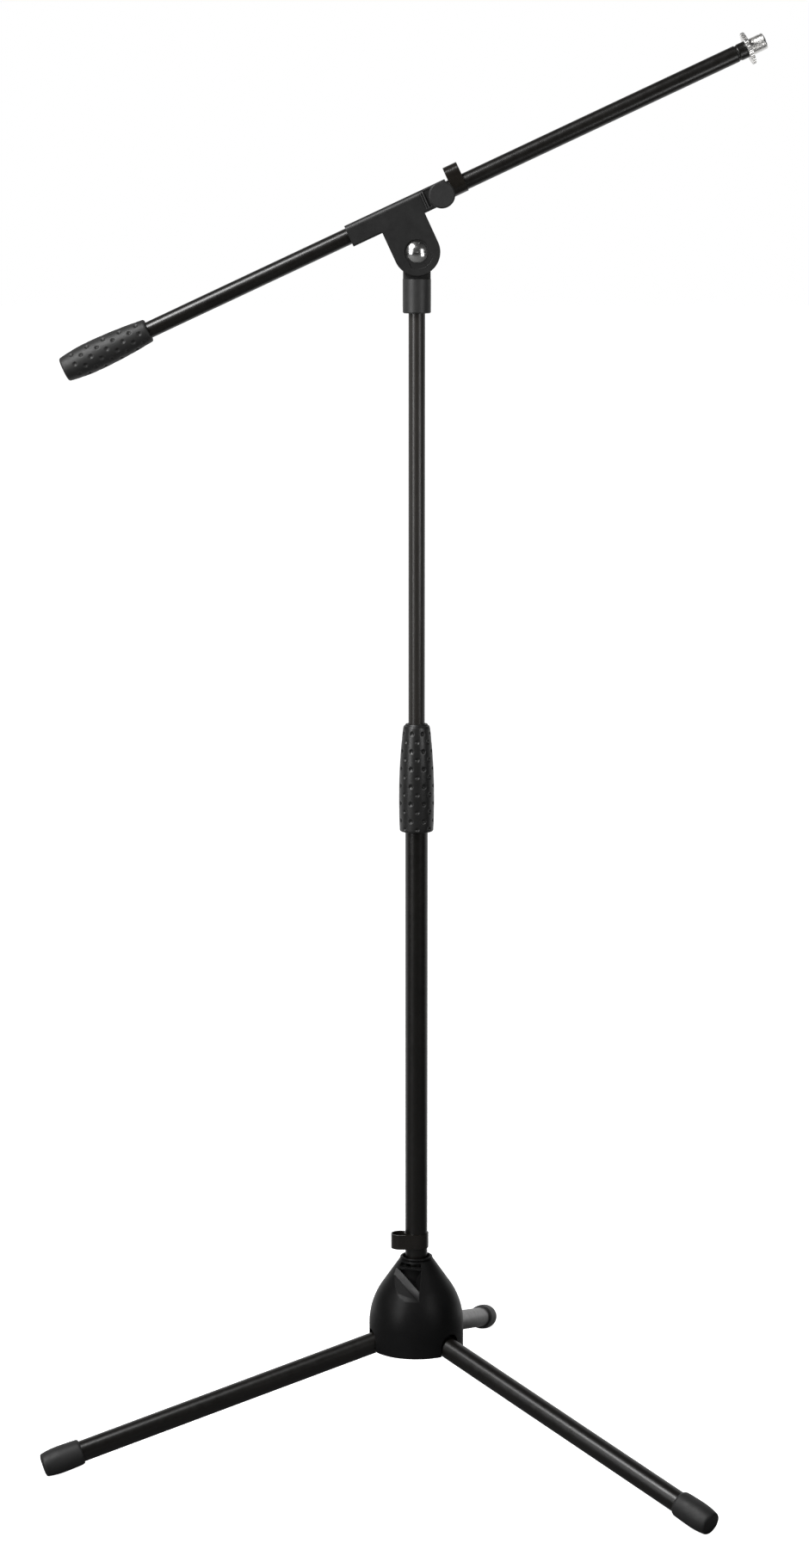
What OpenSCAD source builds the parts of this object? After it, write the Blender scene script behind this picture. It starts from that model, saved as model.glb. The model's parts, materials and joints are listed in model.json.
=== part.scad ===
// Boom microphone stand: folding tripod base, telescopic mast, tilting boom.
// Millimetres, +Z up. The origin is on the mast's axis at floor level.
// The boom rises towards +X and the front of the stand faces -Y.

/* [Base] */
// Diameter of each leg tube
leg_d = 20.7; // [20.5:0.1:21]
// Angle of a standing leg below the horizontal, in degrees
leg_slope = 15.75; // [14.5:0.25:17]
// Distance from the mast's axis to the end of a leg
foot_reach = 380; // [360:5:400]
// Turn of the tripod about the mast, in degrees
leg_yaw = 16.2; // [0:0.1:60]
// Extra turn of the rear leg; at 0 the legs stand 120 degrees apart
rear_turn = 1.7; // [0:0.1:3]
// Largest radius of the domed housing
housing_r = 47; // [46:0.2:48]
// Height of the housing's lower rim above the floor
housing_bottom = 98; // [97:0.5:99]
// Height of the housing's top rim above the floor
housing_top = 190; // [188:0.5:192]

/* [Mast] */
// Diameter of the fixed lower tube
lower_d = 22; // [21.5:0.25:22]
// Diameter of the sliding upper tube
upper_d = 16; // [15.5:0.25:16]
// Height of the top of the height clutch
clutch_top = 727; // [690:1:760]
// Height of the boom's tilt pivot
pivot_z = 1181.6; // [1150:0.1:1220]
// Diameter of the coupler between mast and boom holder
coupler_d = 27.1; // [26.5:0.1:28]

/* [Boom] */
// Diameter of the boom tube
boom_d = 16; // [15.5:0.25:16]
// Angle of the boom above the horizontal, in degrees
boom_tilt = 24.9; // [-40:0.1:40]
// Distance from the pivot line to the boom's front end
boom_front = 362; // [330:1:420]
// Distance from the pivot line to the boom's rear end
boom_back = 354; // [320:1:400]
// Distance of the boom's axis above the pivot
boom_rise = 41; // [40:0.2:43]
// Length of the sleeve that holds the boom
sleeve_len = 105; // [104:1:108]

/* [Microphone thread] */
// Outer diameter of the 5/8 inch adapter
adapter_d = 15.875; // [15.875:0.001:15.876]
// Length of the adapter in front of the lock ring
adapter_len = 15; // [14:0.1:20]
// Diameter of the 3/8 inch stud
stud_d = 9.525; // [9.525:0.001:9.526]
// Diameter of the scalloped lock ring over its lobes
lock_ring_d = 31.6; // [30:0.2:33]

/* [Hidden] */

$fn = 64;

// Clearance on the radius of a running fit
run_gap = 0.05;
// Gap between faces that pass each other
face_gap = 0.15;
// Gap between faces that only just touch
rub_gap = 0.02;
// Wall of the mast, boom and leg tubes
tube_wall = 1.2;

leg_r = leg_d / 2;
lower_r = lower_d / 2;
upper_r = upper_d / 2;
boom_r = boom_d / 2;
coupler_r = coupler_d / 2;
adapter_r = adapter_d / 2;
stud_r = stud_d / 2;

// Directions of the legs about the mast
left_leg = 180 + leg_yaw;
right_leg = 300 + leg_yaw;
rear_leg = 60 + leg_yaw + rear_turn;

// Leg hinge: a knuckle between two cheeks of the hub
pin_reach = 27;
pin_r = 3;
foot_axis_z = 10;
leg_len = (foot_reach - pin_reach) / cos(leg_slope);
pin_z = foot_axis_z + (foot_reach - pin_reach) * tan(leg_slope);
knuckle_r = 9;
knuckle_t = 10;
cheek_r = 8;
cheek_t = 5;
tube_start = 14;
plug_len = 26;

// Foot cap
cap_len = 40;
cap_end_t = 3;
cap_widest_r = 13.2;
cap_widest_at = 18;
cap_edge_r = 11.3;

// Hub and housing
boss_r = 15;
hub_bottom = housing_bottom + 1;
tube_seat = hub_bottom + 5;
boss_top = 160;
housing_wall = 2.5;
plate_reach = housing_r - housing_wall - 0.2;
leg_slot = 23;
cone_top_r = 16.9;
cone_top = housing_top - 2.2;
lip_r = 16.1;
lip_groove_r = 15.2;
mouth_r = 13.6;
cone_foot_r = 34.2;
cone_foot_z = 163;
recess_turn = 273.2;
notch_r = 11.5;
notch_z = 107.5;
bolt_r = 4;

// Height clutch
grip_len = 106;
grip_bottom = clutch_top - grip_len;
socket_r = 13.2;
lower_top = clutch_top - 59;
core_r = 14;
clutch_neck_r = 11.4;

// Mast
upper_bottom = 500;
coupler_bottom = pivot_z - 58;
coupler_shoulder = pivot_z - 25.5;
upper_top = coupler_bottom + 22;

// Boom holder, in its own frame: x along the boom, z away from the pivot
holder_r = 11;
plate_r = 22.3;
plate_t = 10;
disc_t = 2;
bolt_head_r = 10.4;
washer_t = 1.5;
tongue_back = 12;
lock_x = 43.9;
lock_z = -2.5;
lock_boss_r = 8.5;
lock_screw_r = 3;
lock_knob_r = 12.6;

// Boom furniture
boom_clip_x = 62.2;
boom_clip_w = 14;
boom_clip_reach = 20.4;
mast_clip_z = 207.5;
mast_clip_w = 14.6;
mast_clip_reach = 25.2;
clip_wall = 1.1;
boom_grip_len = 90;
weight_r = 10.5;
crimp_x = boom_front - 8.5;
stud_len = 20;
ring_t = 4;
ring_lobes = 18;

// Colours
black_paint = [0.09, 0.09, 0.10];
black_plastic = [0.17, 0.17, 0.175];
dark_plastic = [0.12, 0.12, 0.125];
black_rubber = [0.10, 0.10, 0.10];
chrome = [0.85, 0.86, 0.87];
steel = [0.62, 0.63, 0.65];
brass = [0.78, 0.64, 0.34];
nylon = [0.75, 0.75, 0.72];
cast_iron = [0.30, 0.30, 0.31];

// ---------- helpers ----------

// Hollow round bar standing on z = 0
module pipe(outer_r, inner_r, length) {
    difference() {
        cylinder(r = outer_r, h = length);
        translate([0, 0, -1]) cylinder(r = inner_r, h = length + 2);
    }
}

// Lays a bar that stands on z = 0 along +X
module along_x() rotate([0, 90, 0]) children();

// Lays a bar that stands on z = 0 along +Y
module along_y() rotate([-90, 0, 0]) children();

// Places children at a leg's pin, with +X down the leg
module at_leg(direction) {
    rotate([0, 0, direction])
        translate([pin_reach, 0, pin_z])
            rotate([0, leg_slope, 0]) children();
}

// Places children at the tilt pivot, with +X along the boom
module at_pivot() translate([0, 0, pivot_z]) rotate([0, -boom_tilt, 0]) children();

// Places children on the boom's axis, with +X along the boom
module at_boom() at_pivot() translate([0, 0, boom_rise]) children();

// Places children where the lock screw's axis crosses the plane y = 0
module at_lock() at_boom() translate([lock_x, 0, lock_z]) children();

// Flat bar with rounded ends, centred, lying along z with its thickness along y
module rounded_bar(length, width, thickness) {
    along_y() translate([0, 0, -thickness / 2]) linear_extrude(thickness) {
        square([width, length - width], center = true);
        for (side = [-1, 1])
            translate([0, side * (length - width) / 2]) circle(d = width);
    }
}

// ---------- base ----------

// Half outline of the housing: cone, round shoulder, straight skirt, hollow below
module housing_outline() {
    steps = 16;
    cone_angle = atan((cone_foot_r - cone_top_r) / (cone_top - cone_foot_z));
    shoulder_r = (housing_r - cone_foot_r) / (1 - cos(cone_angle));
    skirt_top = cone_foot_z - shoulder_r * sin(cone_angle);
    shoulder = [for (i = [0:steps])
        let (a = cone_angle * i / steps)
        [housing_r - shoulder_r * (1 - cos(a)), skirt_top + shoulder_r * sin(a)]];
    inner_r = housing_r - housing_wall;
    hollow_top = 140;
    polygon(concat(
        [[housing_r - 0.7, housing_bottom], [housing_r, housing_bottom + 0.7]],
        shoulder,
        [[cone_top_r, cone_top], [lip_groove_r, cone_top + 0.2],
         [lip_groove_r, housing_top - 0.8], [mouth_r, housing_top - 0.8],
         [mouth_r, boss_top], [boss_r, boss_top],
         [boss_r, hollow_top], [inner_r - 12, hollow_top],
         [inner_r, skirt_top], [inner_r, housing_bottom]]));
}

// All space beyond a plane. The plane's normal is tilted from +Z, then turned about it.
module beyond_plane(turn, tilt, distance) {
    rotate([0, 0, turn]) rotate([0, tilt, 0])
        translate([-200, -200, distance]) cube(400);
}

// Recess in the dome, with +X towards its lowest corner. A flat facet meets a steeper band
// along a straight ridge; behind the band a pit runs up under a thin ledge, and above the
// ledge a groove opens into the mouth.
module recess() {
    ridge_start = [10.4, -24.3];
    ridge_turn = 39.5;
    ledge = 181.2;
    ledge_top = 183.2;
    groove_top = 187;
    wall_y = 3.8;
    big = 100;
    // facet, outside the ridge
    intersection() {
        beyond_plane(-10, 42.1, 141.1);
        translate(ridge_start) rotate([0, 0, ridge_turn]) translate([-big, -big, 0])
            cube([2 * big, big, 200]);
    }
    // band and pit, inside the ridge and left of the slanting wall
    difference() {
        intersection() {
            union() {
                beyond_plane(-22.8, 50.1, 127.2);
                intersection() {
                    beyond_plane(80.8, 37, 133.8);
                    translate([11.1, -16.7, 0]) rotate([0, 0, 39.2]) translate([-big, 0, 0])
                        cube([2 * big, big, 200]);
                }
            }
            translate(ridge_start) rotate([0, 0, ridge_turn]) translate([-big, 0, 0])
                cube([2 * big, big, 200]);
            beyond_plane(-76.5, 73.4, 53);
            translate([0, -big, 0]) cube([big, 2 * big, ledge]);
        }
        cylinder(r = lip_r + 0.4, h = 400);
    }
    // groove above the ledge, and the straight front of the ledge
    intersection() {
        translate([0, 0, ledge - 0.1]) linear_extrude(groove_top - ledge + 0.1)
            polygon([[8, wall_y], [60, wall_y], [60, -20], [22, -41], [7, -13]]);
        union() {
            difference() {
                translate([-big, -big, ledge_top]) cube(2 * big);
                cylinder(r = lip_groove_r + 0.3, h = 400);
            }
            beyond_plane(-21.1, 90, 19.5);
        }
    }
    // window into the mouth
    translate([6, -10.3, ledge_top]) cube([15, 9.4, groove_top - ledge_top]);
}

module base_housing() {
    color(dark_plastic) difference() {
        union() {
            rotate_extrude($fn = 96) housing_outline();
            translate([0, 0, housing_top]) rotate_extrude($fn = 96)
                translate([(lip_r + mouth_r) / 2, 0]) circle(r = (lip_r - mouth_r) / 2, $fn = 24);
        }
        for (direction = [left_leg, right_leg, rear_leg]) rotate([0, 0, direction]) {
            translate([25, 0, notch_z]) along_x() cylinder(r = notch_r, h = 30);
            translate([25, -notch_r, housing_bottom - 5])
                cube([30, 2 * notch_r, notch_z - housing_bottom + 5]);
        }
        for (side = [0, 180]) rotate([0, 0, recess_turn + side]) recess();
    }
}

// Plate that closes the housing from below, with a slot for each leg to fold through
module base_plate() {
    color(black_plastic) translate([0, 0, hub_bottom]) difference() {
        pipe(plate_reach, boss_r, 2.5);
        for (direction = [left_leg, right_leg, rear_leg]) rotate([0, 0, direction])
            translate([boss_r + 0.8, -leg_slot / 2, -1]) cube([60, leg_slot, 10]);
    }
}

// Two cheeks that straddle one knuckle, tied to the boss
module clevis() {
    for (side = [-1, 1])
        translate([0, side * (knuckle_t / 2 + face_gap + cheek_t / 2), 0])
            rotate([90, 0, 0]) translate([0, 0, -cheek_t / 2]) linear_extrude(cheek_t) {
                translate([pin_reach, pin_z]) circle(r = cheek_r);
                translate([boss_r - 8, pin_z - cheek_r])
                    square([pin_reach - boss_r + 8, 2 * cheek_r]);
            }
}

module hub_core() {
    color(cast_iron) difference() {
        union() {
            translate([0, 0, hub_bottom]) cylinder(r = boss_r, h = boss_top - hub_bottom);
            for (direction = [left_leg, right_leg, rear_leg])
                rotate([0, 0, direction]) clevis();
        }
        translate([0, 0, tube_seat]) cylinder(r = lower_r, h = boss_top);
        translate([0, 0, hub_bottom - 1]) cylinder(r = bolt_r + 0.2, h = 20);
        for (direction = [left_leg, right_leg, rear_leg]) rotate([0, 0, direction])
            translate([pin_reach, 0, pin_z]) rotate([90, 0, 0])
                translate([0, 0, -30]) cylinder(r = pin_r, h = 60);
    }
}

module hub_washer() {
    color(steel) translate([0, 0, hub_bottom - washer_t])
        pipe(8.5, bolt_r + 0.2, washer_t);
}

// Hexagon bolt that draws hub and mast together from below
module hub_bolt() {
    color(steel) {
        translate([0, 0, hub_bottom - washer_t - 5.3]) cylinder(r = 7.5, h = 5.3, $fn = 6);
        translate([0, 0, hub_bottom - washer_t]) cylinder(r = bolt_r, h = 24);
    }
}

// Threaded plug in the foot of the lower tube
module mast_foot_plug() {
    color(steel) translate([0, 0, tube_seat])
        pipe(lower_r - tube_wall, bolt_r, 22);
}

module leg_tube(direction) {
    color(black_paint) at_leg(direction) translate([tube_start, 0, 0]) along_x()
        pipe(leg_r, leg_r - tube_wall, leg_len - cap_end_t - tube_start);
}

// Plug, collar and eye in one casting
module leg_knuckle(direction) {
    color(cast_iron) at_leg(direction) difference() {
        union() {
            rotate([90, 0, 0]) translate([0, 0, -knuckle_t / 2]) linear_extrude(knuckle_t) {
                circle(r = knuckle_r);
                translate([0, -knuckle_r]) square([tube_start - 3, 2 * knuckle_r]);
            }
            translate([tube_start - 4, 0, 0]) along_x() cylinder(r = leg_r, h = 4);
            translate([tube_start - 1, 0, 0]) along_x()
                cylinder(r = leg_r - tube_wall, h = plug_len + 1);
        }
        rotate([90, 0, 0]) translate([0, 0, -20]) cylinder(r = pin_r + run_gap, h = 40);
    }
}

module leg_pin(direction) {
    length = knuckle_t + 2 * (face_gap + cheek_t);
    color(steel) rotate([0, 0, direction]) translate([pin_reach, 0, pin_z])
        rotate([90, 0, 0]) translate([0, 0, -length / 2]) cylinder(r = pin_r, h = length);
}

// Radius of a foot cap at a distance from its closed end
function cap_r(s) = s < cap_widest_at
    ? cap_widest_r - 2.2 * pow(1 - s / cap_widest_at, 2)
    : cap_widest_r - 0.75 * pow((s - cap_widest_at) / (cap_len - cap_widest_at), 2);

// Half outline of a foot cap: a raised disc on its closed end (y = 0), a rounded open end
module cap_outline() {
    side = [for (s = [2:3:cap_len - 2]) [cap_r(s), s]];
    polygon(concat(
        [[0, 0], [8.6, 0.2], [9.6, 0.6], [10, 1.1], [10.3, 0.7], [10.8, 0.9]],
        side,
        [[cap_r(cap_len) - 0.3, cap_len - 0.9], [cap_edge_r + 0.4, cap_len - 0.2],
         [cap_edge_r, cap_len], [leg_r, cap_len], [leg_r, cap_end_t], [0, cap_end_t]]));
}

// Rubber cap, worn to a small flat where it stands on the floor
module foot_cap(direction) {
    color(black_rubber) difference() {
        at_leg(direction) translate([leg_len, 0, 0]) rotate([0, -90, 0])
            rotate_extrude() cap_outline();
        translate([-500, -500, -50]) cube([1000, 1000, 50]);
    }
}

// ---------- cable clips ----------

// Springy strip around a tube (axis z) with a cable loop that reaches out towards -X
module cable_clip(tube_r, width, reach) {
    outer_r = tube_r + clip_wall;
    loop_r = 9.2;
    loop_x = loop_r - reach;
    loop_y = loop_r - outer_r;
    translate([0, 0, -width / 2]) linear_extrude(width) difference() {
        union() {
            circle(r = outer_r);
            difference() {
                union() {
                    translate([loop_x, loop_y]) circle(r = loop_r);
                    translate([loop_x, -outer_r]) square([-loop_x, clip_wall]);
                }
                translate([loop_x, loop_y]) circle(r = loop_r - clip_wall);
                translate([loop_x, -tube_r]) square([-loop_x, outer_r]);
            }
        }
        circle(r = tube_r);
        rotate(112) square([outer_r + 2, 7]);
    }
}

module mast_cable_clip() {
    color(black_plastic) translate([0, 0, mast_clip_z])
        cable_clip(lower_r + run_gap, mast_clip_w, mast_clip_reach);
}

module boom_cable_clip() {
    color(black_plastic) at_boom() translate([boom_clip_x, 0, 0]) along_x()
        cable_clip(boom_r + run_gap, boom_clip_w, boom_clip_reach);
}

// ---------- mast ----------

module lower_tube() {
    color(black_paint) translate([0, 0, tube_seat])
        pipe(lower_r, lower_r - tube_wall, lower_top - tube_seat);
}

module upper_tube() {
    color(black_paint) translate([0, 0, upper_bottom])
        pipe(upper_r, upper_r - tube_wall, upper_top - upper_bottom);
}

// Plastic bush that guides the upper tube inside the lower one
module guide_bush() {
    color(nylon) translate([0, 0, upper_bottom + 0.2])
        pipe(lower_r - tube_wall - run_gap, upper_r + run_gap, 30);
}

module upper_tube_plug() {
    color(black_plastic) {
        translate([0, 0, upper_bottom - 2]) cylinder(r = upper_r + 1, h = 2);
        translate([0, 0, upper_bottom - 0.5]) cylinder(r = upper_r - tube_wall, h = 15);
    }
}

// Threaded sleeve fixed on the lower tube, with a seat for the collet
module clutch_socket() {
    color(black_plastic) translate([0, 0, lower_top - 36]) difference() {
        cylinder(r = socket_r, h = 40);
        translate([0, 0, -1]) cylinder(r = lower_r, h = 37);
        translate([0, 0, 30]) cylinder(r = upper_r + 0.6, h = 20);
    }
}

// Slit nylon cone that is squeezed onto the upper tube
module clutch_collet() {
    color(nylon) translate([0, 0, lower_top + 4 + face_gap]) difference() {
        union() {
            cylinder(r = 11.4, h = 8);
            translate([0, 0, 8]) cylinder(r1 = 11.4, r2 = 9.8, h = 28);
        }
        translate([0, 0, -1]) cylinder(r = upper_r + run_gap, h = 60);
        for (turn = [0, 90]) rotate([0, 0, turn])
            translate([-20, -0.8, 6]) cube([40, 1.6, 60]);
    }
}

// Radius of the clutch grip at a height above its bottom
function clutch_r(h) = h < 34 ? 17.2 - 0.7 * pow((34 - h) / 34, 2) : 17.2 - 3.75 * pow((h - 34) / 66, 2);

// Rigid body of the turning clutch, under the rubber
module clutch_core() {
    color(black_plastic) translate([0, 0, grip_bottom]) difference() {
        union() {
            cylinder(r = core_r, h = 72);
            translate([0, 0, 72]) cylinder(r1 = core_r, r2 = clutch_neck_r, h = grip_len - 73.5);
        }
        translate([0, 0, -1]) cylinder(r = lower_r + 0.5, h = 66);
        translate([0, 0, 6]) cylinder(r = socket_r + run_gap, h = 58);
        translate([0, 0, 63.9]) cylinder(r1 = 11.9, r2 = 10.3, h = 28);
        cylinder(r = upper_r + 0.6, h = 200);
    }
}

// Rubber sleeve of the clutch, gently barrel shaped
module clutch_grip() {
    side = [for (h = [2:7:100]) [clutch_r(h), h]];
    color(black_rubber) translate([0, 0, grip_bottom]) rotate_extrude($fn = 96)
        polygon(concat(
            [[core_r, 0], [15, 0], [15.8, 0.3], [16.3, 1]],
            side,
            [[clutch_r(102) - 0.1, 102.6], [12.7, 103.8], [12, grip_len - 1.5],
             [clutch_neck_r, grip_len - 1.5], [core_r, 72]]));
}

module clutch_top_ring() {
    color(black_plastic) translate([0, 0, clutch_top - 1.5]) rotate_extrude()
        polygon([[upper_r + 0.6, 0], [clutch_neck_r, 0], [10.6, 1.5], [upper_r + 0.6, 1.5]]);
}

// ---------- tilt joint ----------

// Socket on the upper tube with a half-round tongue that the boom holder lies against
module coupler() {
    color(black_plastic) difference() {
        union() {
            translate([0, 0, coupler_bottom]) {
                cylinder(r1 = coupler_r - 1.2, r2 = coupler_r, h = 1);
                translate([0, 0, 1])
                    cylinder(r = coupler_r, h = coupler_shoulder - coupler_bottom - 1);
            }
            intersection() {
                translate([0, 0, coupler_bottom + 10]) cylinder(r = coupler_r, h = 90);
                translate([0, disc_t / 2, pivot_z]) along_y() linear_extrude(coupler_r) {
                    circle(r = coupler_r);
                    translate([-coupler_r, 0]) square([2 * coupler_r, 40]);
                }
            }
        }
        translate([0, 0, coupler_bottom - 1]) cylinder(r = upper_r, h = upper_top - coupler_bottom + 1);
        translate([0, 0, pivot_z]) along_y() cylinder(r = bolt_r + run_gap, h = 40);
        translate([-30, tongue_back, pivot_z - 12]) cube([60, 10, 40]);
        for (side = [-1, 1]) translate([side * coupler_r, 0, coupler_shoulder])
            rotate([0, 0, 45]) translate([-2.2, -2.2, 0]) cube([4.4, 4.4, 12]);
    }
}

module tilt_friction_disc() {
    color(nylon) translate([0, rub_gap - disc_t / 2, pivot_z]) along_y()
        pipe(13.5, bolt_r + 0.1, disc_t - rub_gap);
}

// Outline of the sleeve across the boom, x to the front: round, with a flat front
module sleeve_section() {
    sleeve_r = 10.4;
    sleeve_drop = 0.6;
    flat_top = 5.3;
    flat_bottom = -9;
    edge_r = 2;
    brow_r = 5;
    translate([0, -sleeve_drop]) circle(r = sleeve_r);
    translate([0, flat_bottom]) square([holder_r, flat_top - flat_bottom]);
    translate([0, flat_bottom - edge_r]) square([holder_r - edge_r, 10]);
    translate([holder_r - edge_r, flat_bottom]) circle(r = edge_r);
    translate([holder_r - brow_r, flat_top]) circle(r = brow_r);
}

// Sleeve around the boom with a plate down to the pivot
module boom_holder() {
    recess_r = 12;
    recess_w = 22.6;
    recess_end = 16;
    recess_t = 1;
    pocket_t = 1.8;
    ramp_t = 0.7;
    ramp_w = 1.5;
    color(black_plastic) difference() {
        union() {
            at_boom() translate([-sleeve_len / 2, 0, 0]) rotate([90, 0, 90])
                rotate([0, 0, 180]) mirror([0, 1, 0]) linear_extrude(sleeve_len) sleeve_section();
            at_pivot() translate([0, -holder_r, 0]) along_y() linear_extrude(plate_t) {
                circle(r = plate_r);
                translate([-plate_r, -boom_rise]) square([2 * plate_r, boom_rise]);
            }
            at_lock() translate([0, -holder_r - 3.5, 0]) along_y()
                cylinder(r = lock_boss_r, h = 10);
        }
        at_boom() translate([-100, 0, 0]) along_x() cylinder(r = boom_r + run_gap, h = 200);
        at_boom() {
            // pocket in front of the lock screw, and a slot between two shallow ramps
            difference() {
                translate([28.7, -holder_r - 1, -7.5]) cube([40, pocket_t + 1, 16]);
                translate([lock_x, -30, lock_z]) along_y() cylinder(r = lock_boss_r, h = 60);
            }
            translate([26.4, -holder_r - 1, -8]) cube([0.8, pocket_t + 1, 16]);
            for (start = [24.8, 27.1]) translate([start, -holder_r, -8]) linear_extrude(16)
                polygon([[0, -1], [0, ramp_t], [ramp_w, 0], [ramp_w, -1]]);
        }
        at_lock() {
            translate([0, -30, 0]) along_y() cylinder(r = lock_screw_r + run_gap, h = 30);
            translate([-5, -holder_r - 4, -5]) cube([10, 4.6, 10]);
        }
        at_pivot() {
            translate([0, -holder_r - 5, 0]) along_y() {
                cylinder(r = recess_r, h = 5 + recess_t);
                intersection() {
                    cylinder(r = recess_end, h = 5 + recess_t);
                    translate([-recess_w / 2, 0, 0]) cube([recess_w, recess_end, 20]);
                }
                cylinder(r = bolt_r, h = 40);
            }
            translate([-bolt_r, -holder_r - 1, -bolt_r]) cube([2 * bolt_r, 5, 2 * bolt_r]);
        }
    }
}

// Carriage bolt: shallow domed head, square neck, round shank
module tilt_bolt() {
    dome_h = 4.4;
    dome_r = (bolt_head_r * bolt_head_r + dome_h * dome_h) / (2 * dome_h);
    color(chrome) at_pivot() translate([0, 1 - holder_r, 0]) {
        difference() {
            intersection() {
                translate([0, dome_r - dome_h, 0]) sphere(r = dome_r, $fn = 96);
                translate([0, -dome_h - 1, 0]) along_y() cylinder(r = bolt_head_r, h = dome_h + 1);
            }
            translate([0, -dome_h - 1, 0]) along_y() cylinder(r = 0.9, h = 1.35);
        }
        translate([-bolt_r, 0, -bolt_r]) cube([2 * bolt_r, 3, 2 * bolt_r]);
        along_y() cylinder(r = bolt_r, h = 40);
    }
}

module tilt_washer() {
    color(steel) translate([0, tongue_back, pivot_z]) along_y()
        pipe(9, bolt_r + 0.1, washer_t);
}

// Hexagon nut moulded into the tilt knob
module tilt_nut() {
    color(steel) at_pivot() translate([0, tongue_back + washer_t + face_gap, 0]) along_y()
        difference() {
            cylinder(r = 7.5, h = 6.5, $fn = 6);
            translate([0, 0, -1]) cylinder(r = bolt_r + run_gap, h = 20);
        }
}

// T-shaped hand knob behind the pivot
module tilt_knob() {
    start = tongue_back + washer_t + face_gap;
    color(black_plastic) at_pivot() difference() {
        union() {
            translate([0, start, 0]) along_y() cylinder(r = 10, h = 14);
            translate([0, start + 14, 0]) rounded_bar(41, 13, 11);
        }
        translate([0, start - 1, 0]) along_y() {
            cylinder(r = 7.5, h = 7.5, $fn = 6);
            cylinder(r = bolt_r + 0.4, h = 19);
        }
    }
}

// ---------- boom lock ----------

module boom_lock_knob() {
    chamfer = 1.3;
    thickness = 13;
    color(black_plastic) at_lock() translate([0, -holder_r - 4.5 - thickness, 0]) along_y()
        difference() {
            union() {
                cylinder(r1 = lock_knob_r - chamfer, r2 = lock_knob_r, h = chamfer);
                translate([0, 0, chamfer]) cylinder(r = lock_knob_r, h = thickness - chamfer);
            }
            translate([0, 0, 4]) cylinder(r = lock_screw_r, h = 20);
        }
}

module boom_lock_screw() {
    tip = boom_r + 1.8;
    color(steel) at_lock() translate([0, -holder_r - 13.5, 0]) along_y()
        cylinder(r = lock_screw_r, h = holder_r + 13.5 - tip);
}

module boom_lock_nut() {
    color(steel) at_lock() translate([0, -holder_r - 3.5, 0]) difference() {
        translate([-5, 0, -5]) cube([10, 4.1, 10]);
        translate([0, -1, 0]) along_y() cylinder(r = lock_screw_r + run_gap, h = 10);
    }
}

// Soft pad between the screw's tip and the boom
module boom_lock_pad() {
    color(brass) difference() {
        at_lock() translate([0, rub_gap - boom_r - 1.8, 0]) along_y()
            cylinder(r = lock_screw_r, h = 3);
        at_boom() translate([lock_x - 10, 0, 0]) along_x() cylinder(r = boom_r + rub_gap, h = 20);
    }
}

// ---------- boom ----------

module boom_tube() {
    color(black_paint) at_boom() difference() {
        translate([-boom_back + 4, 0, 0]) along_x()
            pipe(boom_r, boom_r - tube_wall, boom_back - 4 + boom_front);
        translate([crimp_x, 0, 0]) along_x() rotate_extrude()
            translate([boom_r + 1.1, 0]) circle(r = 1.8);
    }
}

// Radius of the boom grip at a distance from its rear end
function grip_r(s) = s < 32 ? 14.7 - 3.0 * pow((32 - s) / 32, 2) : 14.7 - 3.3 * pow((s - 32) / 57, 2);

// Rubber grip over the counterweight, a long barrel with a flat rear end
module boom_grip() {
    side = [for (s = [2:7:86]) [grip_r(s), s]];
    color(black_rubber) at_boom() translate([-boom_back, 0, 0]) along_x()
        rotate_extrude($fn = 96) polygon(concat(
            [[0, 0], [10.4, 0], [11.4, 0.6]],
            side,
            [[grip_r(88.4), 88.4], [10.6, boom_grip_len], [boom_r, boom_grip_len],
             [boom_r, 82], [weight_r, 82], [weight_r, 4], [0, 4]]));
}

module counterweight() {
    color(cast_iron) at_boom() translate([4 - boom_back, 0, 0]) along_x()
        pipe(weight_r, boom_r, 78);
}

module boom_end_plug() {
    color(black_plastic) at_boom() translate([4 - boom_back, 0, 0]) along_x()
        cylinder(r = boom_r - tube_wall, h = 18);
}

// Steel plug crimped in the boom's front end, with the 3/8 inch stud
module mic_stud() {
    color(steel) at_boom() {
        translate([boom_front - 24, 0, 0]) along_x() cylinder(r = boom_r - 1.25, h = 24);
        translate([boom_front - 1, 0, 0]) along_x() cylinder(r = stud_r, h = stud_len + 1);
    }
}

// Thin ring nut with a lobed rim
module lock_ring() {
    lobe_r = 2.1;
    rim = lock_ring_d / 2 - lobe_r;
    color(chrome) at_boom() translate([boom_front + 0.3, 0, 0]) along_x() difference() {
        union() {
            cylinder(r = rim + 0.4, h = ring_t);
            for (i = [0:ring_lobes - 1]) rotate([0, 0, 360 * i / ring_lobes])
                translate([rim, 0, 0.4]) cylinder(r = lobe_r, h = ring_t - 0.8, $fn = 24);
        }
        translate([0, 0, -1]) cylinder(r = stud_r + run_gap, h = 10);
    }
}

// Adapter from the stud to the microphone clip's thread, slotted at its end
module thread_adapter() {
    color(chrome) at_boom() translate([boom_front + ring_t + 0.5, 0, 0]) along_x()
        difference() {
            union() {
                cylinder(r = adapter_r, h = adapter_len - 0.8);
                translate([0, 0, adapter_len - 0.8])
                    cylinder(r1 = adapter_r, r2 = adapter_r - 0.8, h = 0.8);
            }
            translate([0, 0, -1]) cylinder(r = stud_r, h = 40);
            translate([-20, -0.8, adapter_len - 2]) cube([40, 1.6, 5]);
        }
}

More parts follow.
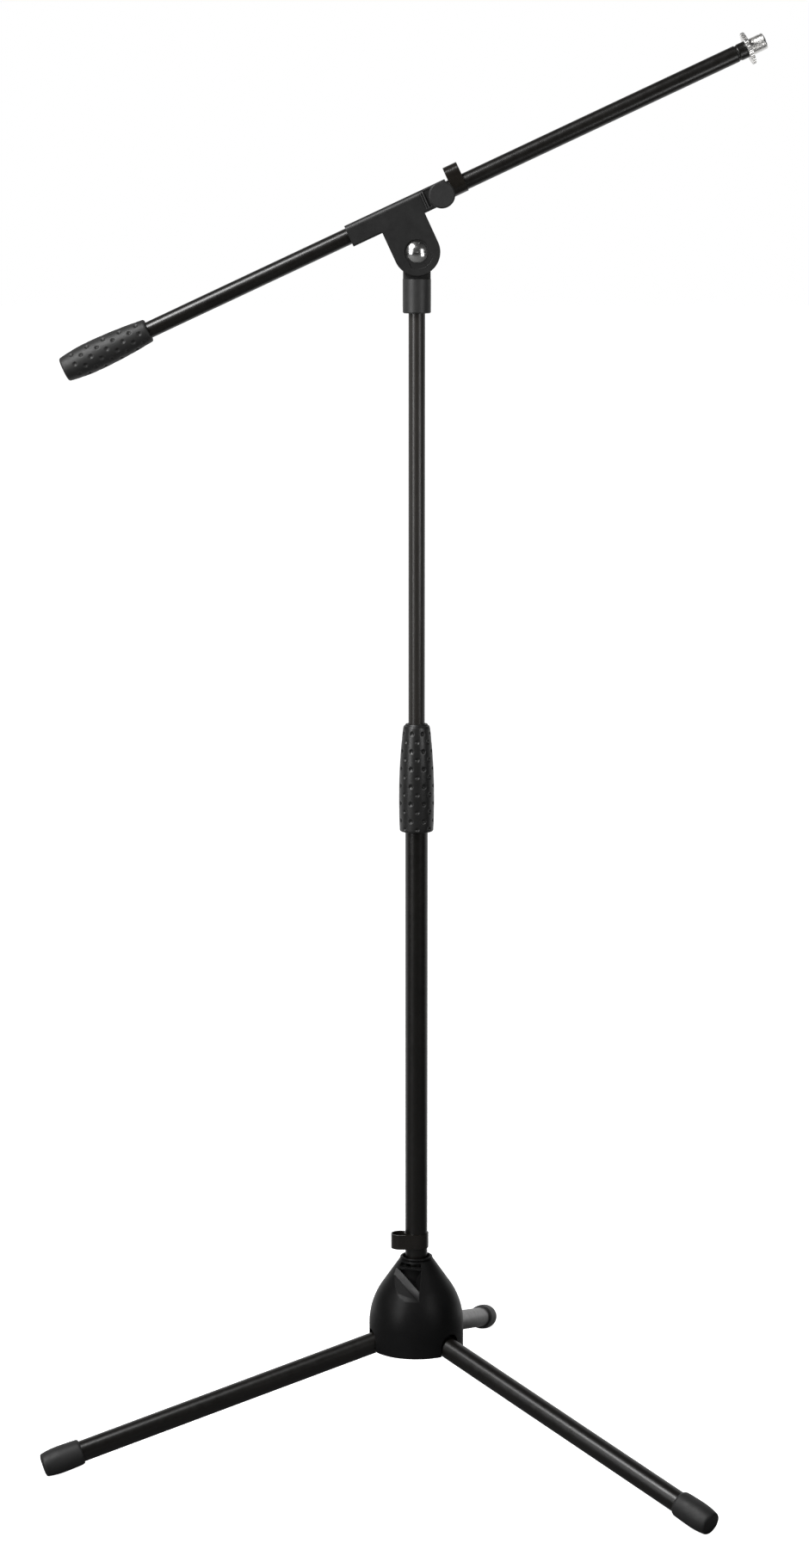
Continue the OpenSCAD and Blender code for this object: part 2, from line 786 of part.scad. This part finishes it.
base_housing();
base_plate();
hub_core();
hub_bolt();
hub_washer();
mast_foot_plug();
leg_tube(left_leg);  // leg_tube_left
leg_tube(right_leg);  // leg_tube_right
leg_tube(rear_leg);  // leg_tube_rear
leg_knuckle(left_leg);  // leg_knuckle_left
leg_knuckle(right_leg);  // leg_knuckle_right
leg_knuckle(rear_leg);  // leg_knuckle_rear
leg_pin(left_leg);  // leg_pin_left
leg_pin(right_leg);  // leg_pin_right
leg_pin(rear_leg);  // leg_pin_rear
foot_cap(left_leg);  // foot_cap_left
foot_cap(right_leg);  // foot_cap_right
foot_cap(rear_leg);  // foot_cap_rear
lower_tube();
mast_cable_clip();
clutch_socket();
clutch_collet();
clutch_core();
clutch_grip();
clutch_top_ring();
upper_tube();
guide_bush();
upper_tube_plug();
coupler();
tilt_friction_disc();
boom_holder();
tilt_bolt();
tilt_washer();
tilt_knob();
tilt_nut();
boom_lock_knob();
boom_lock_screw();
boom_lock_nut();
boom_lock_pad();
boom_tube();
boom_cable_clip();
boom_grip();
counterweight();
boom_end_plug();
mic_stud();
lock_ring();
thread_adapter();
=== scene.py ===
import json
import math

import bmesh
import bpy
import numpy as np
from mathutils import Matrix, Vector


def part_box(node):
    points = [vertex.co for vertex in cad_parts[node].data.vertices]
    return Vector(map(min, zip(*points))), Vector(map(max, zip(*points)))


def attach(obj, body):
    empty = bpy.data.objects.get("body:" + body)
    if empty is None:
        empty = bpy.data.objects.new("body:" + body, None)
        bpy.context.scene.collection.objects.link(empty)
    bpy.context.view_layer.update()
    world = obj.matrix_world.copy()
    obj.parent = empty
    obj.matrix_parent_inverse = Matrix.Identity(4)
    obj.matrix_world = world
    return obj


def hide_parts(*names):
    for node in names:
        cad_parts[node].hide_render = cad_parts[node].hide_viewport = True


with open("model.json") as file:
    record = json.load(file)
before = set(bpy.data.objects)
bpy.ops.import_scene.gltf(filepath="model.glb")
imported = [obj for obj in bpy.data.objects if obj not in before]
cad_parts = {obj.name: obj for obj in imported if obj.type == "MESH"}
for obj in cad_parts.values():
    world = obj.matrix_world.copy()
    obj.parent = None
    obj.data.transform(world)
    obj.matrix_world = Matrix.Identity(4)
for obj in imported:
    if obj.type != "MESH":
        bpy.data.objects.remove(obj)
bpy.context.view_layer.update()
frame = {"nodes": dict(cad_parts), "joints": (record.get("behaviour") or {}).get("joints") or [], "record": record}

# Looks of a boom microphone stand: metres, +Z up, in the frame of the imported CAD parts.
# The viewer stands in front of the mast, towards -Y.

MM = 0.001
WHITE = (1.0, 1.0, 1.0, 1.0)
UP = Vector((0.0, 0.0, 1.0))
FRONT = Vector((0.0, -1.0, 0.0))

record = frame["record"]
joints = {joint["name"]: joint for joint in frame["joints"]}
mounts = {mount["name"]: mount for mount in record["mounts"]}
slots = {part["node"]: part["material_slot"] for part in record["subparts"]}
carriers = {node: body for body, members in record["behaviour"]["bodies"].items()
            for node in members}
BOOM_AXIS = Vector(joints["boom_slide"]["axis"])
BOOM_POINT = Vector(mounts["mic_thread"]["pos_m"])


def map_range(tree, source, low, high, start, end, interpolation="LINEAR"):
    """source mapped from low..high onto start..end, and held there outside."""
    node = tree.nodes.new("ShaderNodeMapRange")
    node.interpolation_type = interpolation
    tree.links.new(source, node.inputs["Value"])
    for name, value in (("From Min", low), ("From Max", high),
                        ("To Min", start), ("To Max", end)):
        node.inputs[name].default_value = value
    return node.outputs["Result"]


# ---------- camera, floor and light ----------

CAMERA_PLACE = (-0.0118, -3.350, 1.1928)
CAMERA_PITCH = 8.911       # degrees below the horizon
CAMERA_LENS = 79.63        # mm, for a sensor 36 mm high
DARK_STUDIO = 0.045        # what the room around the stand shows
BRIGHT_WALL = 0.74         # what the wall and the floor far behind it show
FLOOR_HALF = 60.0
SEEN_GREY = 0.82           # the floor as the camera sees it
LIT_GREY = 0.18            # the floor as the stand sees it


def make_camera():
    """The camera stands in front of the mast at head height and looks a little down."""
    data = bpy.data.cameras.new("camera")
    data.sensor_width = 36.0
    data.lens = CAMERA_LENS
    data.clip_start = 0.1
    data.clip_end = 200.0
    camera = bpy.data.objects.new("camera", data)
    camera.location = CAMERA_PLACE
    camera.rotation_euler = (math.radians(90.0 - CAMERA_PITCH), 0.0, 0.0)
    bpy.context.scene.collection.objects.link(camera)
    bpy.context.scene.camera = camera


def seen_and_lit(tree, seen, around):
    """A shader that shows seen to the camera and around to everything else."""
    path = tree.nodes.new("ShaderNodeLightPath")
    mix = tree.nodes.new("ShaderNodeMixShader")
    tree.links.new(path.outputs["Is Camera Ray"], mix.inputs["Fac"])
    tree.links.new(around, mix.inputs[1])
    tree.links.new(seen, mix.inputs[2])
    return mix.outputs["Shader"]


def glow_behind(tree, vector, start, end, nearby):
    """Glow that rises from nearby to BRIGHT_WALL as the vector's Y goes from start to end."""
    split = tree.nodes.new("ShaderNodeSeparateXYZ")
    tree.links.new(vector, split.inputs["Vector"])
    return map_range(tree, split.outputs["Y"], start, end, nearby, BRIGHT_WALL, "SMOOTHSTEP")


def matt_shader(tree, grey):
    """A matt grey that can glow white."""
    shader = tree.nodes.new("ShaderNodeBsdfPrincipled")
    shader.inputs["Base Color"].default_value = (grey, grey, grey, 1.0)
    shader.inputs["Roughness"].default_value = 0.9
    shader.inputs["Specular IOR Level"].default_value = 0.1
    shader.inputs["Emission Color"].default_value = WHITE
    return shader


def floor_material():
    """White to the eye. It lights the stand from far behind, but hardly from close by."""
    material = bpy.data.materials.new("pale_floor")
    material.use_nodes = True
    tree = material.node_tree
    seen = matt_shader(tree, SEEN_GREY)
    seen.inputs["Emission Strength"].default_value = 1.0
    around = matt_shader(tree, LIT_GREY)
    place = tree.nodes.new("ShaderNodeNewGeometry").outputs["Position"]
    tree.links.new(glow_behind(tree, place, 0.25, 0.6, 0.0), around.inputs["Emission Strength"])
    shown = seen_and_lit(tree, seen.outputs["BSDF"], around.outputs["BSDF"])
    tree.links.new(shown, tree.nodes["Material Output"].inputs["Surface"])
    return material


def make_floor():
    """A floor that reaches to the horizon."""
    mesh = bpy.data.meshes.new("floor")
    half = FLOOR_HALF
    corners = [(-half, -half, 0), (half, -half, 0), (half, half, 0), (-half, half, 0)]
    mesh.from_pydata(corners, [], [(0, 1, 2, 3)])
    mesh.materials.append(floor_material())
    floor = bpy.data.objects.new("floor", mesh)
    bpy.context.scene.collection.objects.link(floor)


def make_world():
    """White to the eye. As a source of light it is a dark studio with a bright wall behind."""
    world = bpy.data.worlds.new("studio")
    world.use_nodes = True
    tree = world.node_tree
    seen = tree.nodes["Background"]
    seen.inputs["Color"].default_value = WHITE
    seen.inputs["Strength"].default_value = 1.0
    around = tree.nodes.new("ShaderNodeBackground")
    around.inputs["Color"].default_value = WHITE
    direction = tree.nodes.new("ShaderNodeTexCoord").outputs["Generated"]
    tree.links.new(glow_behind(tree, direction, 0.45, 0.9, DARK_STUDIO),
                   around.inputs["Strength"])
    shown = seen_and_lit(tree, seen.outputs["Background"], around.outputs["Background"])
    tree.links.new(shown, tree.nodes["World Output"].inputs["Surface"])
    bpy.context.scene.world = world


def softbox(name, place, aim, size, radiance):
    """A rectangular softbox at place that faces aim. radiance is what its face shows."""
    data = bpy.data.lights.new(name, "AREA")
    data.shape = "RECTANGLE"
    data.size, data.size_y = size
    data.energy = radiance * math.pi * size[0] * size[1]
    light = bpy.data.objects.new(name, data)
    light.location = place
    towards = Vector(aim) - Vector(place)
    light.rotation_euler = towards.to_track_quat("-Z", "Y").to_euler()
    bpy.context.scene.collection.objects.link(light)


def around_stand(left_angle, distance, height):
    """A point at an angle to the camera's left of the mast, in degrees."""
    angle = math.radians(left_angle)
    return (-distance * math.sin(angle), -distance * math.cos(angle), height)


def make_lights():
    """Two tall softboxes at the sides, one above the boom's rear and one for the boom's end."""
    mast_middle = (0.0, 0.0, 0.9)
    boom_rear = (-0.3, 0.0, 1.1)
    softbox("key_left", around_stand(48, 2.8, 1.4), mast_middle, size=(0.8, 1.9), radiance=7.0)
    softbox("fill_right", around_stand(-41, 3.0, 1.5), mast_middle, size=(0.8, 1.3), radiance=3.5)
    softbox("top_left", (-1.2, -1.0, 2.5), boom_rear, size=(0.8, 0.8), radiance=24.0)
    softbox("boom_end", (0.68, -0.65, 0.88), BOOM_POINT, size=(0.3, 0.3), radiance=5.0)


def make_stage():
    """Everything around the stand, shown in plain sRGB."""
    make_camera()
    make_floor()
    make_world()
    make_lights()
    settings = bpy.context.scene.view_settings
    settings.view_transform = "Standard"
    settings.look = "None"


# ---------- materials ----------

# Nodes that don't have the plain look of their material slot
OWN_FINISH = {"upper_tube": "satin_paint", "clutch_grip": "polished_rubber",
              # The coupler and lock knob get a lighter copy of the moulded plastic: partly their paler tone,
              # partly painted light standing in for the highlights they catch.
              "coupler": "pale_and_lit_plastic", "boom_lock_knob": "pale_and_lit_plastic",
              "lock_ring": "satin_nickel", "thread_adapter": "satin_nickel"}


class Surface:
    """A material under construction: a Principled shader fed by textures in object space."""

    def __init__(self, name):
        self.material = bpy.data.materials.new(name)
        self.material.use_nodes = True
        self.tree = self.material.node_tree
        self.nodes = self.tree.nodes
        self.links = self.tree.links
        self.shader = self.nodes["Principled BSDF"]
        self.place = self.nodes.new("ShaderNodeTexCoord").outputs["Object"]
        self.bump_out = None

    def set(self, **values):
        for name, value in values.items():
            self.shader.inputs[name.replace("_", " ")].default_value = value

    def feed(self, name, source):
        self.links.new(source, self.shader.inputs[name])

    def noise(self, size, detail=2.0, grain=0.5):
        """Noise with features of that size in metres, from 0 to 1."""
        texture = self.nodes.new("ShaderNodeTexNoise")
        texture.inputs["Scale"].default_value = 1.0 / size
        texture.inputs["Detail"].default_value = detail
        texture.inputs["Roughness"].default_value = grain
        self.links.new(self.place, texture.inputs["Vector"])
        return texture.outputs["Fac"]

    def cells(self, size):
        """Distance to the nearest cell centre, in cells of that size in metres."""
        texture = self.nodes.new("ShaderNodeTexVoronoi")
        texture.inputs["Scale"].default_value = 1.0 / size
        self.links.new(self.place, texture.inputs["Vector"])
        return texture.outputs["Distance"]

    def clouds(self, source, spread, start, end):
        """From start to end over the middle of a noise, spread to either side of its mean."""
        return map_range(self.tree, source, 0.5 - spread, 0.5 + spread, start, end)

    def colour(self, size, dark, light, detail=3.0, spread=0.2):
        """Base colour that drifts between dark and light, in patches of that size in metres."""
        node = self.nodes.new("ShaderNodeMix")
        node.data_type = "RGBA"
        patches = self.clouds(self.noise(size, detail), spread, 0.0, 1.0)
        self.links.new(patches, node.inputs["Factor"])
        node.inputs["A"].default_value = (*dark, 1.0)
        node.inputs["B"].default_value = (*light, 1.0)
        self.feed("Base Color", node.outputs["Result"])

    def gloss(self, size, smooth, rough, detail=4.0, grain=0.6, spread=0.2):
        """Roughness that drifts between smooth and rough, in patches of that size in metres."""
        patches = self.noise(size, detail, grain)
        self.feed("Roughness", self.clouds(patches, spread, smooth, rough))

    def round_edges(self, radius):
        """Catches the light on edges as if they were rounded to that radius in metres."""
        node = self.nodes.new("ShaderNodeBevel")
        node.samples = 4
        node.inputs["Radius"].default_value = radius
        self.bump_out = node.outputs["Normal"]

    def bump(self, height, depth):
        """Adds relief: height is a 0..1 source, depth what 1 stands for, in metres."""
        node = self.nodes.new("ShaderNodeBump")
        node.inputs["Strength"].default_value = 1.0
        node.inputs["Distance"].default_value = depth
        self.links.new(height, node.inputs["Height"])
        if self.bump_out is not None:
            self.links.new(self.bump_out, node.inputs["Normal"])
        self.bump_out = node.outputs["Normal"]

    def done(self):
        self.feed("Normal", self.bump_out)
        return self.material


def paint(name, dark, light, smooth, rough):
    """Warm black stove enamel: satin gloss, with a faint orange peel and a little dust."""
    look = Surface(name)
    look.colour(0.035, dark, light)
    look.gloss(0.006, smooth, rough, spread=0.25)
    look.bump(look.noise(0.0024, 1.0), 0.000005)
    return look.done()


def housing_plastic():
    """Black nylon with a fine spark-eroded grain, rubbed smoother here and there."""
    look = Surface("housing_plastic_look")
    look.round_edges(0.0005)
    look.colour(0.03, (0.0055, 0.0055, 0.0056), (0.009, 0.0089, 0.009))
    look.set(Specular_IOR_Level=0.15)
    look.gloss(0.012, 0.36, 0.44)
    look.bump(look.noise(0.0009, 2.0), 0.00002)
    look.bump(look.cells(0.0005), 0.00001)
    return look.done()


def moulded_plastic(name, dark, light):
    """Glass-filled nylon: matt charcoal between two greys, with a fine moulded grain."""
    look = Surface(name)
    look.round_edges(0.0004)
    look.colour(0.02, (dark, dark, dark), (light, light, light))
    look.gloss(0.008, 0.42, 0.5)
    look.bump(look.noise(0.0007, 2.0), 0.000016)
    look.bump(look.cells(0.0004), 0.000008)
    return look.done()


def clip_plastic():
    """Thin springy black strip, half gloss."""
    look = Surface("clip_plastic_look")
    look.round_edges(0.0004)
    look.colour(0.015, (0.0095, 0.0080, 0.0066), (0.0140, 0.0120, 0.0100))
    look.gloss(0.004, 0.2, 0.28, detail=3.0, grain=0.5)
    look.bump(look.noise(0.0012, 2.0), 0.000005)
    return look.done()


def grip_rubber(name, smooth, rough):
    """Soft black rubber of the grips, with a silky skin."""
    look = Surface(name)
    look.colour(0.02, (0.011, 0.011, 0.0108), (0.017, 0.0168, 0.0165))
    look.gloss(0.006, smooth, rough)
    look.bump(look.noise(0.0008, 3.0), 0.00001)
    return look.done()


def foot_rubber():
    """Matt black rubber of the foot caps."""
    look = Surface("foot_rubber_look")
    look.colour(0.018, (0.013, 0.013, 0.0131), (0.020, 0.0198, 0.0198))
    look.gloss(0.006, 0.5, 0.62)
    look.bump(look.noise(0.0009, 3.0), 0.00003)
    return look.done()


def polished_metal(name, colour, smooth, scratch):
    """Bare or plated metal with fine scratches and patches of slightly different polish."""
    look = Surface(name)
    look.round_edges(0.0002)
    darker = tuple(0.88 * value for value in colour)
    look.colour(0.01, darker, colour, spread=0.15)
    look.set(Metallic=1.0)
    look.gloss(0.003, smooth, smooth * 1.6, grain=0.5)
    look.bump(look.noise(0.0012, 3.0, 0.7), scratch)
    return look.done()


def cast_metal():
    """Raw iron casting: dark, pitted and rough."""
    look = Surface("cast_metal_look")
    look.colour(0.012, (0.06, 0.058, 0.056), (0.11, 0.107, 0.104), detail=4.0)
    look.set(Metallic=0.8)
    look.gloss(0.005, 0.5, 0.7, grain=0.5)
    look.bump(look.noise(0.0014, 5.0, 0.6), 0.00012)
    return look.done()


def nylon():
    """Natural nylon of the bushes: waxy off-white."""
    look = Surface("nylon_look")
    look.colour(0.02, (0.55, 0.54, 0.50), (0.63, 0.62, 0.58), detail=2.0)
    look.set(Roughness=0.45, Subsurface_Weight=0.2, Subsurface_Radius=(0.002, 0.002, 0.002))
    look.bump(look.noise(0.001, 2.0), 0.00002)
    return look.done()


def make_materials():
    """One look for each material slot, and one for each finish in OWN_FINISH."""
    return {
        "tube_paint": paint("tube_paint_look", (0.0042, 0.0036, 0.0030),
                            (0.0066, 0.0058, 0.0048), 0.27, 0.37),
        "satin_paint": paint("satin_paint_look", (0.0200, 0.0180, 0.0160),
                             (0.0250, 0.0228, 0.0204), 0.30, 0.37),
        "housing_plastic": housing_plastic(),
        "moulded_plastic": moulded_plastic("moulded_plastic_look", 0.0078, 0.0112),
        # Lighter copy of the moulded plastic: partly the paler tone of the coupler and knob, partly painted light
        # for the light they catch.
        "pale_and_lit_plastic": moulded_plastic("pale_and_lit_plastic_look", 0.019, 0.026),
        "clip_plastic": clip_plastic(),
        "grip_rubber": grip_rubber("grip_rubber_look", 0.5, 0.58),
        "polished_rubber": grip_rubber("polished_rubber_look", 0.32, 0.4),
        "foot_rubber": foot_rubber(),
        "chrome": polished_metal("chrome_look", (0.86, 0.86, 0.85), 0.15, 0.000004),
        "satin_nickel": polished_metal("satin_nickel_look", (0.93, 0.92, 0.90), 0.26, 0.000004),
        "steel": polished_metal("steel_look", (0.56, 0.57, 0.58), 0.28, 0.00001),
        "cast_metal": cast_metal(),
        "nylon": nylon(),
        "brass": polished_metal("brass_look", (0.72, 0.55, 0.27), 0.3, 0.00001),
    }


def look_of(name, slot):
    """The look of a node: that of its material slot, unless it has a finish of its own."""
    return looks[OWN_FINISH.get(name, slot)]


def dress_cad_nodes():
    """Gives every CAD node its look, in the place of its plain slots."""
    for name, node in frame["nodes"].items():
        for index, slot in enumerate(node.data.materials):
            node.data.materials[index] = look_of(name, slot.name)


# ---------- pieces that stand for CAD nodes ----------

def make_piece(node, vertices, faces, sharp_angle):
    """A piece that stands for a CAD node, smooth but for edges sharper than that, in degrees."""
    mesh = bpy.data.meshes.new(node + "_detail")
    mesh.from_pydata(vertices, [], faces)
    mesh.update()
    mesh.shade_smooth()
    mesh.set_sharp_from_angle(angle=math.radians(sharp_angle))
    piece = bpy.data.objects.new(node + "_detail", mesh)
    bpy.context.scene.collection.objects.link(piece)
    mesh.materials.append(look_of(node, slots[node]))
    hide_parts(node)
    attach(piece, carriers[node])
    return piece


def smooth_copy(node, sharp_angle):
    """The CAD node's own shape, with its small facets blended into one surface."""
    shape = bmesh.new()
    shape.from_mesh(frame["nodes"][node].data)
    bmesh.ops.remove_doubles(shape, verts=shape.verts, dist=0.01 * MM)
    shape.verts.index_update()
    vertices = [vertex.co.copy() for vertex in shape.verts]
    faces = [[vertex.index for vertex in face.verts] for face in shape.faces]
    shape.free()
    make_piece(node, vertices, faces, sharp_angle)


def span_along(node, origin, axis):
    """Where a CAD node starts and ends along an axis through origin, in metres."""
    places = [(vertex.co - origin).dot(axis) for vertex in frame["nodes"][node].data.vertices]
    return min(places), max(places)


def axis_frame(origin, axis):
    """A frame at origin with +Z along axis and +X as near to the front as it can be."""
    across = axis.cross(FRONT).normalized()
    ahead = across.cross(axis).normalized()
    return Matrix.Translation(origin) @ Matrix((ahead, across, axis)).transposed().to_4x4()


def revolve(outline, columns, place, relief):
    """Turns a closed outline of (radius, height, cut) about +Z. relief gives how far the surface
    sinks at each angle and height; cut tells how much of that an outline point takes."""
    angles = np.linspace(0.0, 2.0 * math.pi, columns, endpoint=False)
    rows = []
    for radius, height, cut in outline:
        depth = relief(angles, radius, height) * cut if cut > 0.0 else 0.0
        reach = radius - depth
        rows.append(np.stack([reach * np.cos(angles), reach * np.sin(angles),
                              np.full(columns, height)], axis=1))
    vertices = [place @ Vector(point) for point in np.concatenate(rows)]
    faces = []
    for row in range(len(outline)):
        above = (row + 1) % len(outline)
        for column in range(columns):
            beside = (column + 1) % columns
            faces.append((row * columns + column, row * columns + beside,
                          above * columns + beside, above * columns + column))
    return vertices, faces


def steps(start, end, spacing):
    """Heights from start to end, as near to that far apart as fits."""
    count = round((end - start) / spacing)
    return [start + (end - start) * index / count for index in range(count + 1)]


# ---------- the two dimpled grips ----------

DIMPLE_COLUMNS = 16
DIMPLE_RADIUS = 2.75 * MM
DIMPLE_DEPTH = 1.15 * MM
GRIP_STEP = 0.5 * MM
GRIP_SHARP = 50.0


def dimples(first_angle, pitch, starts, counts):
    """Relief of round dimples in staggered columns. starts and counts hold the height of the
    lowest dimple and the number of dimples in the even and in the odd columns."""
    step = 2.0 * math.pi / DIMPLE_COLUMNS

    def relief(angles, radius, height):
        column = np.round((angles - first_angle) / step)
        aside = (angles - first_angle - column * step) * radius
        odd = np.mod(column, 2) > 0.5
        nearest = np.zeros(len(angles))
        for parity in (0, 1):
            row = round((height - starts[parity]) / pitch)
            row = min(max(row, 0), counts[parity] - 1)
            nearest[odd == bool(parity)] = height - starts[parity] - row * pitch
        distance = np.hypot(aside, nearest) / DIMPLE_RADIUS
        return DIMPLE_DEPTH * np.clip(1.0 - distance ** 2, 0.0, 1.0) ** 2

    return relief


def barrel_side(length, radius, widest, below, above, run):
    """Outline points up the dimpled side of a grip. It has that radius at its widest height,
    less by below at the bottom, and less by above at a height of run over the widest."""
    side = []
    for height in steps(1.6 * MM, length - 3 * MM, GRIP_STEP):
        if height < widest:
            loss = below * (1.0 - height / widest) ** 2
        else:
            loss = above * ((height - widest) / run) ** 2
        side.append((radius - loss, height, 1.0))
    return side


def make_clutch_grip():
    """Rubber grip of the height clutch: a dimpled barrel with a lip above a narrow neck."""
    low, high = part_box("clutch_grip")
    length = high[2] - low[2]
    bore = 14 * MM
    neck = 11.4 * MM
    neck_start = 72 * MM
    outline = [(bore, 0.0, 0.0), (15 * MM, 0.0, 0.0), (15.8 * MM, 0.25 * MM, 0.0),
               (16.3 * MM, 0.9 * MM, 0.0)]
    outline += barrel_side(length, radius=17.2 * MM, widest=34 * MM,
                           below=0.7 * MM, above=3.75 * MM, run=66 * MM)
    outline += [(13.0 * MM, length - 1.9 * MM, 0.0), (12.75 * MM, length - 1.0 * MM, 0.0),
                (12.4 * MM, length - 0.35 * MM, 0.0), (11.9 * MM, length, 0.0),
                (neck, length, 0.0), (bore, neck_start, 0.0)]
    relief = dimples(first_angle=math.radians(25.5), pitch=17.15 * MM,
                     starts=(11.8 * MM, 3.6 * MM), counts=(6, 6))
    place = axis_frame(Vector((0.0, 0.0, low[2])), UP)
    vertices, faces = revolve(outline, 288, place, relief)
    make_piece("clutch_grip", vertices, faces, GRIP_SHARP)


def make_boom_grip():
    """Rubber grip over the counterweight: a dimpled barrel, closed at its rear end."""
    start, end = span_along("boom_grip", BOOM_POINT, BOOM_AXIS)
    length = end - start
    tube = 8 * MM
    weight = 10.5 * MM
    middle = 0.5 * MM
    wall = 4 * MM
    collar = length - 8 * MM
    outline = [(weight, wall, 0.0), (middle, wall, 0.0), (middle, 0.0, 0.0),
               (10.2 * MM, 0.0, 0.0), (11.0 * MM, 0.25 * MM, 0.0), (11.6 * MM, 0.9 * MM, 0.0)]
    outline += barrel_side(length, radius=14.7 * MM, widest=32 * MM,
                           below=3.0 * MM, above=3.3 * MM, run=57 * MM)
    outline += [(11.5 * MM, length - 1.5 * MM, 0.0), (10.9 * MM, length - 0.4 * MM, 0.0),
                (10.2 * MM, length, 0.0), (tube, length, 0.0), (tube, collar, 0.0),
                (weight, collar, 0.0)]
    relief = dimples(first_angle=math.radians(-2.5), pitch=16.9 * MM,
                     starts=(13.3 * MM, 22 * MM), counts=(5, 4))
    place = axis_frame(BOOM_POINT + start * BOOM_AXIS, BOOM_AXIS)
    vertices, faces = revolve(outline, 256, place, relief)
    make_piece("boom_grip", vertices, faces, GRIP_SHARP)


# ---------- the thread adapter ----------

THREAD_PITCH = 25.4 / 27 * MM
THREAD_DEPTH = 0.4 * MM
THREAD_FLAT = 0.35
THREAD_STEP = 0.116 * MM
THREAD_SHARP = 60.0


def thread_relief(angles, radius, height):
    """A right-handed thread with narrow flats on its crests."""
    turn = np.mod(height / THREAD_PITCH - angles / (2.0 * math.pi), 1.0)
    from_crest = 1.0 - np.abs(2.0 * turn - 1.0)
    sunk = (1.0 + THREAD_FLAT) * from_crest - THREAD_FLAT
    return THREAD_DEPTH * np.clip(sunk, 0.0, 1.0)


def make_thread_adapter():
    """Adapter with its thread, a plain groove near the front and a screwdriver slot."""
    start, end = span_along("thread_adapter", BOOM_POINT, BOOM_AXIS)
    length = end - start
    bore = 4.8 * MM
    outer = mounts["mic_thread"]["dims"]["r_mm"] * MM
    groove = length - 3.2 * MM
    groove_half = 0.35 * MM
    groove_depth = 0.55 * MM
    outline = [(bore, 0.0, 0.0), (outer - 0.5 * MM, 0.0, 0.0)]
    for height in steps(0.5 * MM, length - 1.0 * MM, THREAD_STEP):
        if abs(height - groove) < groove_half:
            outline.append((outer - groove_depth, height, 0.0))
        else:
            outline.append((outer, height, 1.0))
    outline += [(outer - 0.8 * MM, length, 0.0), (bore, length, 0.0)]
    place = axis_frame(BOOM_POINT + start * BOOM_AXIS, BOOM_AXIS)
    vertices, faces = revolve(outline, 96, place, thread_relief)
    piece = make_piece("thread_adapter", vertices, faces, THREAD_SHARP)
    cut_slot(piece, place @ Matrix.Translation((0.0, 0.0, length)))


def cut_slot(piece, place):
    """Cuts a screwdriver slot across the end at place, whose +Z points out of the end."""
    width = 1.6 * MM
    depth = 2.0 * MM
    reach = 20 * MM
    shape = bmesh.new()
    bmesh.ops.create_cube(shape, size=1.0, matrix=place @ Matrix.Diagonal(
        (2.0 * reach, width, 2.0 * depth, 1.0)))
    mesh = bpy.data.meshes.new("slot_cutter")
    shape.to_mesh(mesh)
    shape.free()
    cutter = bpy.data.objects.new("slot_cutter", mesh)
    bpy.context.scene.collection.objects.link(cutter)
    modifier = piece.modifiers.new("slot", "BOOLEAN")
    modifier.operation = "DIFFERENCE"
    modifier.solver = "EXACT"
    modifier.object = cutter
    view = bpy.context.evaluated_depsgraph_get()
    cut = bpy.data.meshes.new_from_object(piece.evaluated_get(view))
    piece.modifiers.clear()
    piece.data = cut
    bpy.data.objects.remove(cutter)


def make_pieces():
    """Smoothed copies of the moulded parts, and the parts with more relief than in CAD."""
    smooth_copy("base_housing", sharp_angle=24.0)
    for side in ("left", "right", "rear"):
        smooth_copy("foot_cap_" + side, sharp_angle=32.0)
    make_clutch_grip()
    make_boom_grip()
    make_thread_adapter()


make_stage()
looks = make_materials()
dress_cad_nodes()
make_pieces()
